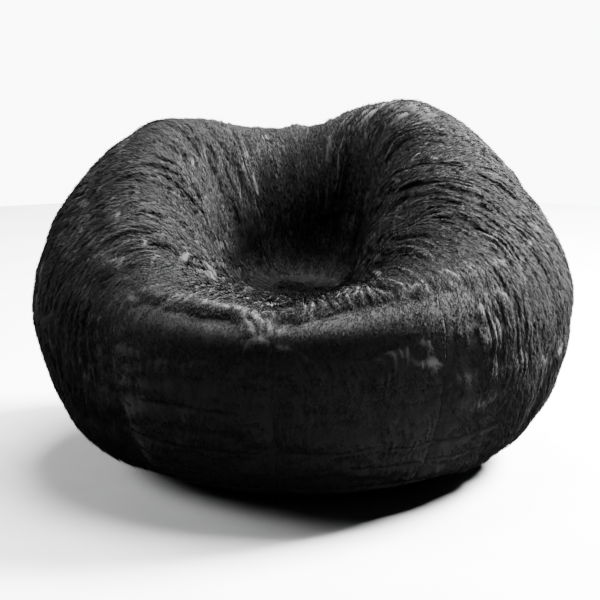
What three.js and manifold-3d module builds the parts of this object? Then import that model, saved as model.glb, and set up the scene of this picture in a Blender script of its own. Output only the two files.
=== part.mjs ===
// Bean bag chair: a fur cover of ten gores, a round base panel and a crown patch over a sewn liner bag
// that holds one mass of loose foam. A zip runs round the back half of the cover's base seam, and a
// second, straight zip closes the underside of the liner.
// Millimetres, +Z up, seat opening towards -Y. The origin is the middle of the underside, on the floor.
import * as THREE from 'three';
import { NURBSCurve } from 'three/addons/curves/NURBSCurve.js';
import { mergeVertices } from 'three/addons/utils/BufferGeometryUtils.js';
import Module from 'manifold-3d';

// Overall body.
const BODY_WIDTH = 1220;
const BODY_HEIGHT = 786;
const SEAT_HEIGHT = 402;

// Eight stations round the body, 45 degrees apart and anticlockwise from +X: right, back right, back,
// back left, left, front left, front, front right. They steer the meridian through each station.
const BELLY_SHARES = [0.99, 0.985, 0.99, 0.993, 0.991, 0.972, 0.95, 0.97];
const SHOULDER_SHARES = [0.862, 0.872, 0.86, 0.86, 0.862, 0.95, 1.0, 0.95];
const SHOULDER_RISE_SHARES = [0.88, 0.88, 0.88, 0.88, 0.88, 0.93, 1.0, 0.93];
const CREST_SHARES = [0.89, 1.0, 0.925, 0.985, 0.915, 0.675, 0.565, 0.725];
const CREST_RADIUS_SHARES = [0.52, 0.53, 0.52, 0.51, 0.52, 0.65, 0.76, 0.65];
const SLOPE_RADIUS_SHARES = [0.42, 0.45, 0.36, 0.46, 0.5, 0.6, 0.7, 0.5];
const SLOPE_RISE_SHARES = [0.8, 0.85, 0.6, 0.25, 0.15, 0.08, 0.3, 0.65];

// How far the meridian's steering points lie past the shape that they pull on.
const BELLY_PULL = 1.096;
const CREST_PULL = 1.055;
const SEAT_FLAT = 75;

// Underside and base seam, which is a true circle so that the zip can run round it.
const FOOT_RADIUS = 330;
const SEAM_RADIUS = 468;
const SEAM_HEIGHT = 52;
const SEAM_SLOPE = THREE.MathUtils.degToRad(27);
const SEAM_REACH = 90;
const BELLY_HEIGHT = 376;
const CROWN_RADIUS = 55;

// Panels and cloth.
const GORE_COUNT = 10;
const SEAM_TURN = 12;
const LINER_PANEL_COUNT = 4;
const COVER_THICKNESS = 8;
const LINER_THICKNESS = 1.5;
const LAYER_GAP = 1.5;
const SEAM_GAP = 1;
const FABRIC_GAP = 0.6;
const BINDING_GAP = 1.6;

// Zip in the cover's base seam. Its section is drawn across the seam and down into the cloth.
const ZIP_GROOVE = 20;
const ZIP_START = 3;
const ZIP_END = 174;
const COIL_WIDTH = 2.4;
const COIL_THICKNESS = 2.2;
const COIL_SPLIT = 2;
const COIL_DEPTH = 2.8;
const TAPE_CLEARANCE = 2.2;
const TAPE_THICKNESS = 0.8;
const STOP_LENGTH = 5;
const SLIDER_LENGTH = 16;
const SLIDER_WIDTH = 12;
const PLATE_THICKNESS = 1.4;
const POST_THICKNESS = 1.2;
const RUNNING_GAP = 0.4;
const SLIDER_START = 2.2;
const BRIDGE_HEIGHT = 4.6;
const BRIDGE_WIDTH = 2.6;
const BRIDGE_WALL = 1.3;
const PULL_LENGTH = 28;
const PULL_WIDTH = 9;
const PULL_THICKNESS = 1.4;

// Zip in the liner's underside.
const LINER_ZIP_LENGTH = 420;
const LINER_SLOT_WIDTH = 18;
const LINER_COIL_THICKNESS = 1.2;
const LINER_PLATE = 0.6;
const LINER_SLIDER_LENGTH = 14;
const LINER_SLIDER_WIDTH = 10;
const LINER_SLIDER_MARGIN = 8;

// Facets.
const AZIMUTH_STEP = 9;
const SIDE_ROWS = 16;
const BASE_ROWS = 4;
const ZIP_STEP = 3;

const LINER_DEPTH = COVER_THICKNESS + LAYER_GAP;
const FILLING_DEPTH = LINER_DEPTH + LINER_THICKNESS + LAYER_GAP;
const RING_COUNT = 360 / AZIMUTH_STEP;
const HALF_GROOVE = ZIP_GROOVE / 2;

const radians = THREE.MathUtils.degToRad;

const PAINTS = {
  fur: { color: 0x1b1b1c, roughness: 0.95, metalness: 0 },
  baseCloth: { color: 0x141415, roughness: 0.9, metalness: 0 },
  linerCloth: { color: 0xd8d6d0, roughness: 0.85, metalness: 0 },
  foam: { color: 0xe3dcc2, roughness: 1, metalness: 0 },
  tape: { color: 0x101011, roughness: 0.85, metalness: 0 },
  coil: { color: 0x1a1a1b, roughness: 0.45, metalness: 0 },
  metal: { color: 0x2b2b2d, roughness: 0.35, metalness: 1 },
};

const group = new THREE.Group();

function addPart(name, geometry, paint, parent = group) {
  const mesh = new THREE.Mesh(geometry, new THREE.MeshStandardMaterial(PAINTS[paint]));
  mesh.name = name;
  parent.add(mesh);
  return mesh;
}

// Booleans.
const wasm = await Module();
wasm.setup();

function toManifold(geometry) {
  const bare = geometry.clone();
  bare.deleteAttribute('normal');
  bare.deleteAttribute('uv');
  const merged = mergeVertices(bare, 1e-4);
  return new wasm.Manifold(new wasm.Mesh({
    numProp: 3,
    vertProperties: new Float32Array(merged.attributes.position.array),
    triVerts: new Uint32Array(merged.index.array),
  }));
}

function toGeometry(manifold) {
  const mesh = manifold.getMesh();
  const geometry = new THREE.BufferGeometry();
  geometry.setAttribute('position', new THREE.BufferAttribute(mesh.vertProperties, 3));
  geometry.setIndex(new THREE.BufferAttribute(mesh.triVerts, 1));
  return geometry;
}

// A smooth value round the body from the eight stations, as a sum of waves through all of them.
function roundTheBody(stations, azimuth) {
  const count = stations.length;
  let value = 0;
  for (let wave = 0; wave <= count / 2; wave += 1) {
    let cosine = 0;
    let sine = 0;
    stations.forEach((station, i) => {
      cosine += station * Math.cos(wave * radians((i * 360) / count));
      sine += station * Math.sin(wave * radians((i * 360) / count));
    });
    const weight = wave === 0 || wave === count / 2 ? 1 : 2;
    const turn = wave * radians(azimuth);
    value += (weight * (cosine * Math.cos(turn) + sine * Math.sin(turn))) / count;
  }
  return value;
}

// The side of the bag at one azimuth, from the base seam over the crest and down into the seat.
// x is the distance from the vertical axis and y is the height.
function makeMeridian(azimuth) {
  const half = BODY_WIDTH / 2;
  const belly = half * roundTheBody(BELLY_SHARES, azimuth);
  const crest = BODY_HEIGHT * roundTheBody(CREST_SHARES, azimuth);
  const crestRadius = half * roundTheBody(CREST_RADIUS_SHARES, azimuth);
  const shoulder = belly * roundTheBody(SHOULDER_SHARES, azimuth);
  const shoulderRise = crest * roundTheBody(SHOULDER_RISE_SHARES, azimuth);
  const slopeRadius = crestRadius * roundTheBody(SLOPE_RADIUS_SHARES, azimuth);
  const slopeRise = (crest - SEAT_HEIGHT) * roundTheBody(SLOPE_RISE_SHARES, azimuth);
  const reach = new THREE.Vector2(Math.cos(SEAM_SLOPE), Math.sin(SEAM_SLOPE)).multiplyScalar(SEAM_REACH);
  const points = [
    [SEAM_RADIUS, SEAM_HEIGHT],
    [SEAM_RADIUS + reach.x, SEAM_HEIGHT + reach.y],
    [belly * BELLY_PULL, BELLY_HEIGHT],
    [shoulder, shoulderRise],
    [crestRadius, crest * CREST_PULL],
    [slopeRadius, SEAT_HEIGHT + slopeRise],
    [CROWN_RADIUS + SEAT_FLAT, SEAT_HEIGHT],
    [CROWN_RADIUS, SEAT_HEIGHT],
  ].map(([r, z]) => new THREE.Vector4(r, z, 0, 1));
  const knots = [0, 0, 0, 0, 0.2, 0.4, 0.6, 0.8, 1, 1, 1, 1];
  return new NURBSCurve(3, knots, points);
}

const meridians = new Map();

function meridianAt(azimuth) {
  const key = azimuth.toFixed(6);
  if (!meridians.has(key)) meridians.set(key, makeMeridian(azimuth));
  return meridians.get(key);
}

function turned(radius, height, azimuth) {
  const angle = radians(azimuth);
  return new THREE.Vector3(radius * Math.cos(angle), radius * Math.sin(angle), height);
}

function skinPoint(along, azimuth) {
  const curve = meridianAt(azimuth);
  const point = curve.getPointAt(THREE.MathUtils.clamp(along, 0, 1));
  return turned(point.x, point.y, azimuth);
}

// A point of the side, `depth` under the outer surface. Near its two ends the side is straight or
// flat, so the slopes are taken from just inside them.
function layerPoint(along, azimuth, depth) {
  const step = 0.004;
  const low = skinPoint(Math.max(along - step, 0), azimuth);
  const high = skinPoint(Math.min(along + step, 1), azimuth);
  const left = skinPoint(along, azimuth - 0.5);
  const right = skinPoint(along, azimuth + 0.5);
  const normal = right.sub(left).cross(high.sub(low)).normalize();
  return skinPoint(along, azimuth).addScaledVector(normal, -depth);
}

// A closed shell between two layers: a grid of points on the outer one, the same grid on the inner
// one, and a wall along each of the four edges.
function shellGeometry(outer, inner) {
  const rows = outer.length;
  const columns = outer[0].length;
  const points = [...outer.flat(), ...inner.flat()];
  const inside = rows * columns;
  const at = (row, column) => row * columns + column;
  const faces = [];
  const quad = (a, b, c, d) => faces.push(a, b, c, a, c, d);
  for (let row = 0; row < rows - 1; row += 1) {
    for (let column = 0; column < columns - 1; column += 1) {
      const [a, b] = [at(row, column), at(row, column + 1)];
      const [c, d] = [at(row + 1, column + 1), at(row + 1, column)];
      quad(a, b, c, d);
      faces.push(inside + a, inside + c, inside + b, inside + a, inside + d, inside + c);
    }
    const [first, next] = [at(row, 0), at(row + 1, 0)];
    quad(first, next, inside + next, inside + first);
    const [last, beyond] = [at(row, columns - 1), at(row + 1, columns - 1)];
    quad(last, inside + last, inside + beyond, beyond);
  }
  for (let column = 0; column < columns - 1; column += 1) {
    const [low, lowNext] = [at(0, column), at(0, column + 1)];
    quad(low, inside + low, inside + lowNext, lowNext);
    const [high, highNext] = [at(rows - 1, column), at(rows - 1, column + 1)];
    quad(high, highNext, inside + highNext, inside + high);
  }
  const geometry = new THREE.BufferGeometry().setFromPoints(points);
  geometry.setIndex(faces);
  return geometry;
}

// Distances up the side from the base seam, one for each row of facets. Every layer has the same
// rows, so that the layers stay parallel; only what starts below the zip's groove has one row more.
function sideRows(length, lowEdge) {
  const reach = length - HALF_GROOVE - FABRIC_GAP;
  const rows = Array.from({ length: SIDE_ROWS + 1 }, (_, row) => HALF_GROOVE + (reach * row) / SIDE_ROWS);
  return lowEdge < HALF_GROOVE ? [lowEdge, ...rows] : rows;
}

// One sewn panel of the side, between two seams, with its edges drawn back from them.
function sidePanel(from, to, depth, thickness, lowEdge) {
  const columns = Math.round((to - from) / AZIMUTH_STEP);
  const azimuths = Array.from({ length: columns + 1 }, (_, column) => from + column * AZIMUTH_STEP);
  const lines = azimuths.map((azimuth) => {
    const curve = meridianAt(azimuth);
    const length = curve.getLength();
    return sideRows(length, lowEdge).map((distance) => {
      const radius = curve.getPointAt(distance / length).x;
      const draw = THREE.MathUtils.radToDeg(SEAM_GAP / 2 / radius);
      const shift = azimuth === from ? draw : azimuth === to ? -draw : 0;
      return [distance / length, azimuth + shift];
    });
  });
  const layer = (under) => lines[0].map((_, row) => lines.map((line) => layerPoint(...line[row], under)));
  return shellGeometry(layer(depth), layer(depth + thickness));
}

// The underside of the body, from the foot's edge to the base seam: distance from the axis, height
// and the slope of the surface, `edge` short of the seam.
function baseCurve() {
  const corner = SEAM_RADIUS - SEAM_HEIGHT / Math.tan(SEAM_SLOPE);
  return new THREE.QuadraticBezierCurve(
    new THREE.Vector2(FOOT_RADIUS, 0),
    new THREE.Vector2(corner, 0),
    new THREE.Vector2(SEAM_RADIUS, SEAM_HEIGHT),
  );
}

function baseLine(depth, edge) {
  const curve = baseCurve();
  const length = curve.getLength();
  const line = [];
  for (let row = 0; row <= BASE_ROWS; row += 1) {
    const distance = row === BASE_ROWS ? length - edge : (row * (length - HALF_GROOVE)) / BASE_ROWS;
    const along = distance / length;
    const point = curve.getPointAt(along);
    const tangent = curve.getTangentAt(along);
    line.push(new THREE.Vector2(point.x - tangent.y * depth, point.y + tangent.x * depth));
  }
  return line;
}

// A round panel of the underside, turned about the vertical axis so that its facets line up with
// those of the side.
function basePanel(depth, thickness, edge) {
  const under = baseLine(depth, edge);
  const over = baseLine(depth + thickness, edge).reverse();
  const profile = [
    new THREE.Vector2(0, depth),
    ...under,
    ...over,
    new THREE.Vector2(0, depth + thickness),
  ];
  const start = radians(((SEAM_TURN % AZIMUTH_STEP) + AZIMUTH_STEP) % AZIMUTH_STEP);
  return new THREE.LatheGeometry(profile, RING_COUNT, start, Math.PI * 2).rotateX(Math.PI / 2);
}

// The flat round piece that closes the ring of panels at the bottom of the seat.
function crownDisc(depth, thickness) {
  const radius = CROWN_RADIUS - FABRIC_GAP;
  const disc = new THREE.CylinderGeometry(radius, radius, thickness, RING_COUNT);
  return disc.rotateX(Math.PI / 2).translate(0, 0, SEAT_HEIGHT - depth - thickness / 2);
}

// The foam mass: one closed surface of rings from the middle of the underside to the crown.
function fillingGeometry() {
  const azimuths = Array.from({ length: RING_COUNT }, (_, i) => SEAM_TURN + i * AZIMUTH_STEP);
  const points = [new THREE.Vector3(0, 0, FILLING_DEPTH)];
  baseLine(FILLING_DEPTH, 0).forEach(({ x, y }) => {
    azimuths.forEach((azimuth) => points.push(turned(x, y, azimuth)));
  });
  for (let row = 0; row <= SIDE_ROWS; row += 1) {
    azimuths.forEach((azimuth) => {
      const length = meridianAt(azimuth).getLength();
      const distance = sideRows(length, HALF_GROOVE)[row];
      points.push(layerPoint(distance / length, azimuth, FILLING_DEPTH));
    });
  }
  const top = points.length;
  points.push(new THREE.Vector3(0, 0, SEAT_HEIGHT - FILLING_DEPTH));
  const ringTotal = (top - 1) / RING_COUNT;
  const faces = [];
  for (let i = 0; i < RING_COUNT; i += 1) {
    const next = (i + 1) % RING_COUNT;
    faces.push(0, 1 + next, 1 + i);
    for (let ring = 0; ring < ringTotal - 1; ring += 1) {
      const low = 1 + ring * RING_COUNT;
      const high = low + RING_COUNT;
      faces.push(low + i, low + next, high + next, low + i, high + next, high + i);
    }
    const last = top - RING_COUNT;
    faces.push(last + i, last + next, top);
  }
  const geometry = new THREE.BufferGeometry().setFromPoints(points);
  geometry.setIndex(faces);
  return geometry;
}

// A circle about the vertical axis through the base seam, for sections swept along it.
class SeamArc extends THREE.Curve {
  constructor(from, to) {
    super();
    this.from = from;
    this.to = to;
  }

  getPoint(t, target = new THREE.Vector3()) {
    return target.copy(turned(SEAM_RADIUS, SEAM_HEIGHT, THREE.MathUtils.lerp(this.from, this.to, t)));
  }
}

// A section given across the seam (positive up the side) and down into the cloth, as a shape for a
// sweep along the seam: such a sweep puts the shape's x straight down and its y towards the axis.
function seamShape(points) {
  const shape = new THREE.Shape();
  points.forEach(([across, depth], i) => {
    const outward = across * Math.cos(SEAM_SLOPE) - depth * Math.sin(SEAM_SLOPE);
    const upward = across * Math.sin(SEAM_SLOPE) + depth * Math.cos(SEAM_SLOPE);
    if (i === 0) shape.moveTo(-upward, -outward);
    else shape.lineTo(-upward, -outward);
  });
  return shape;
}

function rectangle(low, high, top, bottom) {
  return [[low, top], [high, top], [high, bottom], [low, bottom]];
}

function seamSweep(points, from, to, step) {
  const steps = Math.max(1, Math.round((to - from) / step));
  const extrudePath = new SeamArc(from, to);
  return new THREE.ExtrudeGeometry(seamShape(points), { steps, bevelEnabled: false, extrudePath });
}

function arcDegrees(length) {
  return THREE.MathUtils.radToDeg(length / SEAM_RADIUS);
}

// Cover.
function buildCover() {
  const width = 360 / GORE_COUNT;
  for (let i = 0; i < GORE_COUNT; i += 1) {
    const from = SEAM_TURN + i * width;
    const name = `cover_gore_${String(i + 1).padStart(2, '0')}`;
    addPart(name, sidePanel(from, from + width, 0, COVER_THICKNESS, HALF_GROOVE), 'fur');
  }
  addPart('cover_crown_patch', crownDisc(0, COVER_THICKNESS), 'fur');
  addPart('cover_base_panel', basePanel(0, COVER_THICKNESS, HALF_GROOVE), 'baseCloth');
  const half = HALF_GROOVE - BINDING_GAP;
  const section = rectangle(-half, half, SEAM_GAP, COVER_THICKNESS - SEAM_GAP);
  const gap = arcDegrees(SEAM_GAP);
  const binding = seamSweep(section, ZIP_END + gap, 360 + ZIP_START - gap, AZIMUTH_STEP);
  addPart('cover_seam_binding', binding, 'baseCloth');
}

// Liner and filling.
function buildLiner() {
  const width = 360 / LINER_PANEL_COUNT;
  for (let i = 0; i < LINER_PANEL_COUNT; i += 1) {
    const from = SEAM_TURN + i * width;
    const panel = sidePanel(from, from + width, LINER_DEPTH, LINER_THICKNESS, SEAM_GAP / 2);
    addPart(`liner_panel_${i + 1}`, panel, 'linerCloth');
  }
  addPart('liner_crown_cap', crownDisc(LINER_DEPTH, LINER_THICKNESS), 'linerCloth');
  const slot = new THREE.BoxGeometry(LINER_ZIP_LENGTH, LINER_SLOT_WIDTH, 20).translate(0, 0, LINER_DEPTH);
  const base = toManifold(basePanel(LINER_DEPTH, LINER_THICKNESS, SEAM_GAP / 2));
  addPart('liner_base_panel', toGeometry(base.subtract(toManifold(slot))), 'linerCloth');
}

function buildFilling() {
  const channel = new THREE.BoxGeometry(LINER_ZIP_LENGTH, LINER_SLOT_WIDTH, 2 * LAYER_GAP);
  channel.translate(0, 0, FILLING_DEPTH);
  const mass = toManifold(fillingGeometry());
  addPart('foam_filling', toGeometry(mass.subtract(toManifold(channel))), 'foam');
}

// Cover zip: two tapes and two coils along the seam, a stop at each end, and the slider with its pull.
function buildCoverZip() {
  const inner = COIL_SPLIT / 2;
  const outer = inner + COIL_WIDTH;
  const coilBottom = COIL_DEPTH + COIL_THICKNESS;
  const tapeTop = COIL_DEPTH + (COIL_THICKNESS - TAPE_THICKNESS) / 2;
  const tapeLow = outer + RUNNING_GAP;
  const tapeHigh = HALF_GROOVE - TAPE_CLEARANCE;
  const stop = arcDegrees(STOP_LENGTH);
  const gap = arcDegrees(RUNNING_GAP);
  const [from, to] = [ZIP_START + stop + gap, ZIP_END - stop - gap];
  [['upper', 1], ['lower', -1]].forEach(([side, sign]) => {
    const coil = rectangle(sign * inner, sign * outer, COIL_DEPTH, coilBottom);
    addPart(`cover_zip_coil_${side}`, seamSweep(coil, from, to, ZIP_STEP), 'coil');
    const tape = rectangle(sign * tapeLow, sign * tapeHigh, tapeTop, tapeTop + TAPE_THICKNESS);
    addPart(`cover_zip_tape_${side}`, seamSweep(tape, ZIP_START, ZIP_END, ZIP_STEP), 'tape');
  });
  const block = rectangle(-outer, outer, COIL_DEPTH, coilBottom);
  addPart('cover_zip_stop_closed', seamSweep(block, ZIP_START, ZIP_START + stop, ZIP_STEP), 'metal');
  addPart('cover_zip_stop_open', seamSweep(block, ZIP_END - stop, ZIP_END, ZIP_STEP), 'metal');
}

// The slider is drawn flat: x along the zip, y across it and z out of the cloth, with z = 0 at the
// cloth's outer surface. Its post runs between the coils, and its bridge holds the pull's eye.
function sliderGeometry() {
  const plateLow = -(COIL_DEPTH + COIL_THICKNESS + RUNNING_GAP + PLATE_THICKNESS);
  const plateHigh = -(COIL_DEPTH - RUNNING_GAP);
  const plate = (bottom) => {
    const box = new THREE.BoxGeometry(SLIDER_LENGTH, SLIDER_WIDTH, PLATE_THICKNESS);
    return toManifold(box.translate(0, 0, bottom + PLATE_THICKNESS / 2));
  };
  const postHeight = plateHigh - plateLow;
  const post = new THREE.BoxGeometry(SLIDER_LENGTH / 3, POST_THICKNESS, postHeight);
  post.translate(0, 0, plateLow + postHeight / 2);
  const arch = new THREE.Shape();
  const half = SLIDER_LENGTH / 2 - BRIDGE_WALL;
  const top = BRIDGE_HEIGHT;
  arch.moveTo(-half, 0).lineTo(-half, top - 2).lineTo(-half + 2, top).lineTo(half - 2, top);
  arch.lineTo(half, top - 2).lineTo(half, 0).lineTo(half - BRIDGE_WALL, 0);
  arch.lineTo(half - BRIDGE_WALL, top - BRIDGE_WALL - 1).lineTo(half - BRIDGE_WALL - 1, top - BRIDGE_WALL);
  arch.lineTo(-half + BRIDGE_WALL + 1, top - BRIDGE_WALL);
  arch.lineTo(-half + BRIDGE_WALL, top - BRIDGE_WALL - 1).lineTo(-half + BRIDGE_WALL, 0).closePath();
  const bridge = new THREE.ExtrudeGeometry(arch, { depth: BRIDGE_WIDTH, bevelEnabled: false });
  bridge.translate(0, 0, -BRIDGE_WIDTH / 2).rotateX(Math.PI / 2);
  bridge.translate(0, 0, plateHigh + PLATE_THICKNESS - 0.2);
  return toGeometry(plate(plateLow).add(plate(plateHigh)).add(toManifold(post)).add(toManifold(bridge)));
}

function pullHeight() {
  return -(COIL_DEPTH - RUNNING_GAP) + PLATE_THICKNESS + (BRIDGE_HEIGHT - BRIDGE_WALL) / 2;
}

// The pull hangs straight out of the cloth, which is as near to straight down as its hinge lets it.
// Its eye goes round the bridge's bar, and its hinge is at the middle of the gap under that bar.
function pullGeometry() {
  const eye = PULL_THICKNESS / 2;
  const outline = new THREE.Shape();
  const half = PULL_WIDTH / 2;
  outline.moveTo(-half, -eye).lineTo(half, -eye).lineTo(half, PULL_LENGTH - 3);
  outline.absarc(half - 3, PULL_LENGTH - 3, 3, 0, Math.PI / 2, false);
  outline.absarc(-half + 3, PULL_LENGTH - 3, 3, Math.PI / 2, Math.PI, false);
  outline.closePath();
  const window = new THREE.Path();
  const side = BRIDGE_WIDTH / 2 + RUNNING_GAP + 0.4;
  window.moveTo(-side, eye).lineTo(-side, 9).lineTo(side, 9).lineTo(side, eye).closePath();
  outline.holes.push(window);
  const options = { depth: PULL_THICKNESS, bevelEnabled: false, curveSegments: 4 };
  const flat = new THREE.ExtrudeGeometry(outline, options);
  return flat.translate(0, 0, -eye).rotateX(Math.PI / 2).rotateZ(Math.PI / 2);
}

function buildSlider() {
  const carrier = new THREE.Group();
  const azimuth = ZIP_START + SLIDER_START;
  carrier.position.copy(turned(SEAM_RADIUS, SEAM_HEIGHT, azimuth));
  const alongZip = new THREE.Vector3(-Math.sin(radians(azimuth)), Math.cos(radians(azimuth)), 0);
  const outOfCloth = turned(Math.sin(SEAM_SLOPE), -Math.cos(SEAM_SLOPE), azimuth);
  const across = outOfCloth.clone().cross(alongZip);
  carrier.setRotationFromMatrix(new THREE.Matrix4().makeBasis(alongZip, across, outOfCloth));
  group.add(carrier);
  addPart('cover_zip_slider', sliderGeometry(), 'metal', carrier);
  const pull = addPart('cover_zip_pull', pullGeometry(), 'metal', carrier);
  pull.position.z = pullHeight();
}

// Liner zip: straight, flush with the liner's underside, with a slider that has no pull.
function buildLinerZip() {
  const inner = COIL_SPLIT / 2;
  const outer = inner + COIL_WIDTH;
  const middle = LINER_DEPTH + LINER_THICKNESS / 2;
  const end = LINER_ZIP_LENGTH / 2 - SEAM_GAP;
  const coilLength = 2 * (end - STOP_LENGTH - RUNNING_GAP);
  const tapeWidth = LINER_SLOT_WIDTH / 2 - outer - RUNNING_GAP - SEAM_GAP;
  [['left', 1], ['right', -1]].forEach(([side, sign]) => {
    const coil = new THREE.BoxGeometry(coilLength, COIL_WIDTH, LINER_COIL_THICKNESS);
    addPart(`liner_zip_coil_${side}`, coil.translate(0, sign * (inner + outer) / 2, middle), 'coil');
    const tape = new THREE.BoxGeometry(2 * end, tapeWidth, TAPE_THICKNESS);
    tape.translate(0, sign * (outer + RUNNING_GAP + tapeWidth / 2), middle);
    addPart(`liner_zip_tape_${side}`, tape, 'tape');
  });
  [['closed', -1], ['open', 1]].forEach(([state, sign]) => {
    const stop = new THREE.BoxGeometry(STOP_LENGTH, 2 * outer, LINER_COIL_THICKNESS);
    addPart(`liner_zip_stop_${state}`, stop.translate(sign * (end - STOP_LENGTH / 2), 0, middle), 'metal');
  });
  const clear = LINER_COIL_THICKNESS / 2 + 0.25;
  const plates = [-1, 1].map((sign) => {
    const plate = new THREE.BoxGeometry(LINER_SLIDER_LENGTH, LINER_SLIDER_WIDTH, LINER_PLATE);
    return toManifold(plate.translate(0, 0, sign * (clear + LINER_PLATE / 2)));
  });
  const post = new THREE.BoxGeometry(LINER_SLIDER_LENGTH / 3, POST_THICKNESS, 2 * clear + LINER_PLATE);
  const slider = toGeometry(plates[0].add(plates[1]).add(toManifold(post)));
  const start = -end + STOP_LENGTH + LINER_SLIDER_MARGIN + LINER_SLIDER_LENGTH / 2;
  addPart('liner_zip_slider', slider, 'metal').position.set(start, 0, middle);
}

buildCover();
buildLiner();
buildFilling();
buildCoverZip();
buildSlider();
buildLinerZip();

export default group;
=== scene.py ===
"""Bean bag chair: the looks. A fur cover of ten gores, each with a deep ridged pile of modelled
blades, over a liner and a foam filling, with a zip round the back of the base seam.

Lengths are metres, +Z is up and the seat opens towards -Y, as in the frame.
"""
import math

import bmesh
import bpy
import numpy as np
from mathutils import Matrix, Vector, noise


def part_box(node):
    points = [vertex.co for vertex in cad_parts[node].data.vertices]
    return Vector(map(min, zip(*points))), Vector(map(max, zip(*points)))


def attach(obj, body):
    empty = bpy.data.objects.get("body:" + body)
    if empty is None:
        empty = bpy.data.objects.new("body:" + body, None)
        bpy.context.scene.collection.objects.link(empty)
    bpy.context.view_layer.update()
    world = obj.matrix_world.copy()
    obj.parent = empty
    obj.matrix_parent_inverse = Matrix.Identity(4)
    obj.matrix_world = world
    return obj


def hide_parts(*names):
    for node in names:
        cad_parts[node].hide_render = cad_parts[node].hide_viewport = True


bl_info = {
    "name": "Bean bag chair",
    "version": (1, 0, 0),
    "blender": (4, 5, 0),
    "location": "View3D > Sidebar > Bean bag",
    "description": "Builds a fur bean bag chair around its packed frame",
    "category": "Object",
}

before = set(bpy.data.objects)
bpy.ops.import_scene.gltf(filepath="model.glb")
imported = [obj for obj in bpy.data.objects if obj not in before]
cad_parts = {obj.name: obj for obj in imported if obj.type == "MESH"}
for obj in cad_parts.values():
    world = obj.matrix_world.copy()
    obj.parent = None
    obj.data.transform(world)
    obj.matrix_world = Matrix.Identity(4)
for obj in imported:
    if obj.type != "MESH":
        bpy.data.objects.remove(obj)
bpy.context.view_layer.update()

# The body, as the frame has it. Eight stations round the body, 45 degrees apart and anticlockwise from
# +X, steer the meridian through each: right, back right, back, back left, left, front left, front,
# front right.
BODY_WIDTH = 1.22
BODY_HEIGHT = 0.786
BELLY_SHARES = (0.99, 0.985, 0.99, 0.993, 0.991, 0.972, 0.95, 0.97)
SHOULDER_SHARES = (0.862, 0.872, 0.86, 0.86, 0.862, 0.95, 1.0, 0.95)
SHOULDER_RISE_SHARES = (0.88, 0.88, 0.88, 0.88, 0.88, 0.93, 1.0, 0.93)
CREST_SHARES = (0.89, 1.0, 0.925, 0.985, 0.915, 0.675, 0.565, 0.725)
CREST_RADIUS_SHARES = (0.52, 0.53, 0.52, 0.51, 0.52, 0.65, 0.76, 0.65)
SLOPE_RADIUS_SHARES = (0.42, 0.45, 0.36, 0.46, 0.5, 0.6, 0.7, 0.5)
SLOPE_RISE_SHARES = (0.8, 0.85, 0.6, 0.25, 0.15, 0.08, 0.3, 0.65)
BELLY_PULL = 1.096
CREST_PULL = 1.055
SEAT_FLAT = 0.075
SEAT_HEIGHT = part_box("cover_crown_patch")[1][2]
FOOT_RADIUS = 0.33
SEAM_RADIUS = 0.468
SEAM_HEIGHT = 0.052
SEAM_SLOPE = math.radians(27)
SEAM_REACH = 0.09
BELLY_HEIGHT = 0.376
CROWN_RADIUS = 0.055

GORE_COUNT = 10
GORE_WIDTH = 2 * math.pi / GORE_COUNT
SEAM_TURN = math.radians(12)
COVER_THICKNESS = 0.008
LINER_PANEL_COUNT = 4
LINER_THICKNESS = 0.0015
LAYER_GAP = 0.0015
LINER_DEPTH = COVER_THICKNESS + LAYER_GAP
FILLING_DEPTH = LINER_DEPTH + LINER_THICKNESS + LAYER_GAP
SEAM_GAP = 0.001
CLOSED_GAP = 0.0003
FABRIC_GAP = 0.0006
BINDING_GAP = 0.0016
HALF_GROOVE = 0.010

# The zip in the base seam. Its section is drawn across the seam and down into the cloth.
ZIP_START = math.radians(3)
ZIP_END = math.radians(174)
COIL_WIDTH = 0.0024
COIL_THICKNESS = 0.0022
COIL_SPLIT = 0.002
COIL_DEPTH = 0.0028
COIL_PITCH = 0.0017
COIL_FACETS = 10
WIRE_RADIUS = 0.00034
TAPE_CLEARANCE = 0.0022
TAPE_THICKNESS = 0.0008
STOP_LENGTH = 0.005
RUNNING_GAP = 0.0004

MEAN_GIRTH_RADIUS = 0.6
SIDE_LENGTH = 1.28

# The cloth that has settled under air: how far out it can come, how soon it slows down, and how far in it
# starts.
SETTLED_MOST = 0.010
SETTLED_HALF = 0.016
SETTLED_SINK = 0.004
# The whole relief starts a little inside the plain surface, and no dent goes through the cover.
RELIEF_SINK = 0.005
RELIEF_DEEPEST = 0.0058
# The smooth front wall: its middle, and how far to each side it is whole and where it has ended.
FRONT_AZIMUTH = math.radians(-93)
FRONT_FULL = math.radians(32)
FRONT_END = math.radians(57)

# The deepest creases, as (share of the way up the side, azimuth in degrees) at each end, half width
# and depth: down the back of the seat, and over the right and left lobes into the seat.
CREASES = (
    ((0.66, 98), (0.97, 104), 0.016, 0.010),
    ((0.62, 22), (0.88, 38), 0.014, 0.011),
    ((0.60, 2), (0.84, 12), 0.010, 0.009),
    ((0.58, -22), (0.80, -14), 0.009, 0.008),
    ((0.64, 62), (0.90, 66), 0.012, 0.009),
    ((0.62, 142), (0.86, 132), 0.016, 0.010),
    ((0.60, 172), (0.86, 166), 0.016, 0.009),
    ((0.56, 206), (0.80, 196), 0.014, 0.009),
    ((0.55, 236), (0.78, 230), 0.012, 0.008),
)
# Wrinkles across the front wall: share of the way up, azimuths at the two ends, how far the middle
# sags, and depth.
WRINKLES = (
    (0.165, 222, 292, 0.030, 0.0045),
    (0.150, 286, 322, 0.014, 0.0040),
    (0.095, 276, 318, 0.008, 0.0035),
    (0.240, 232, 262, -0.010, 0.0030),
    (0.070, 240, 268, 0.010, 0.0030),
)

UP = np.array([0, 0, 1.0])


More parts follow.
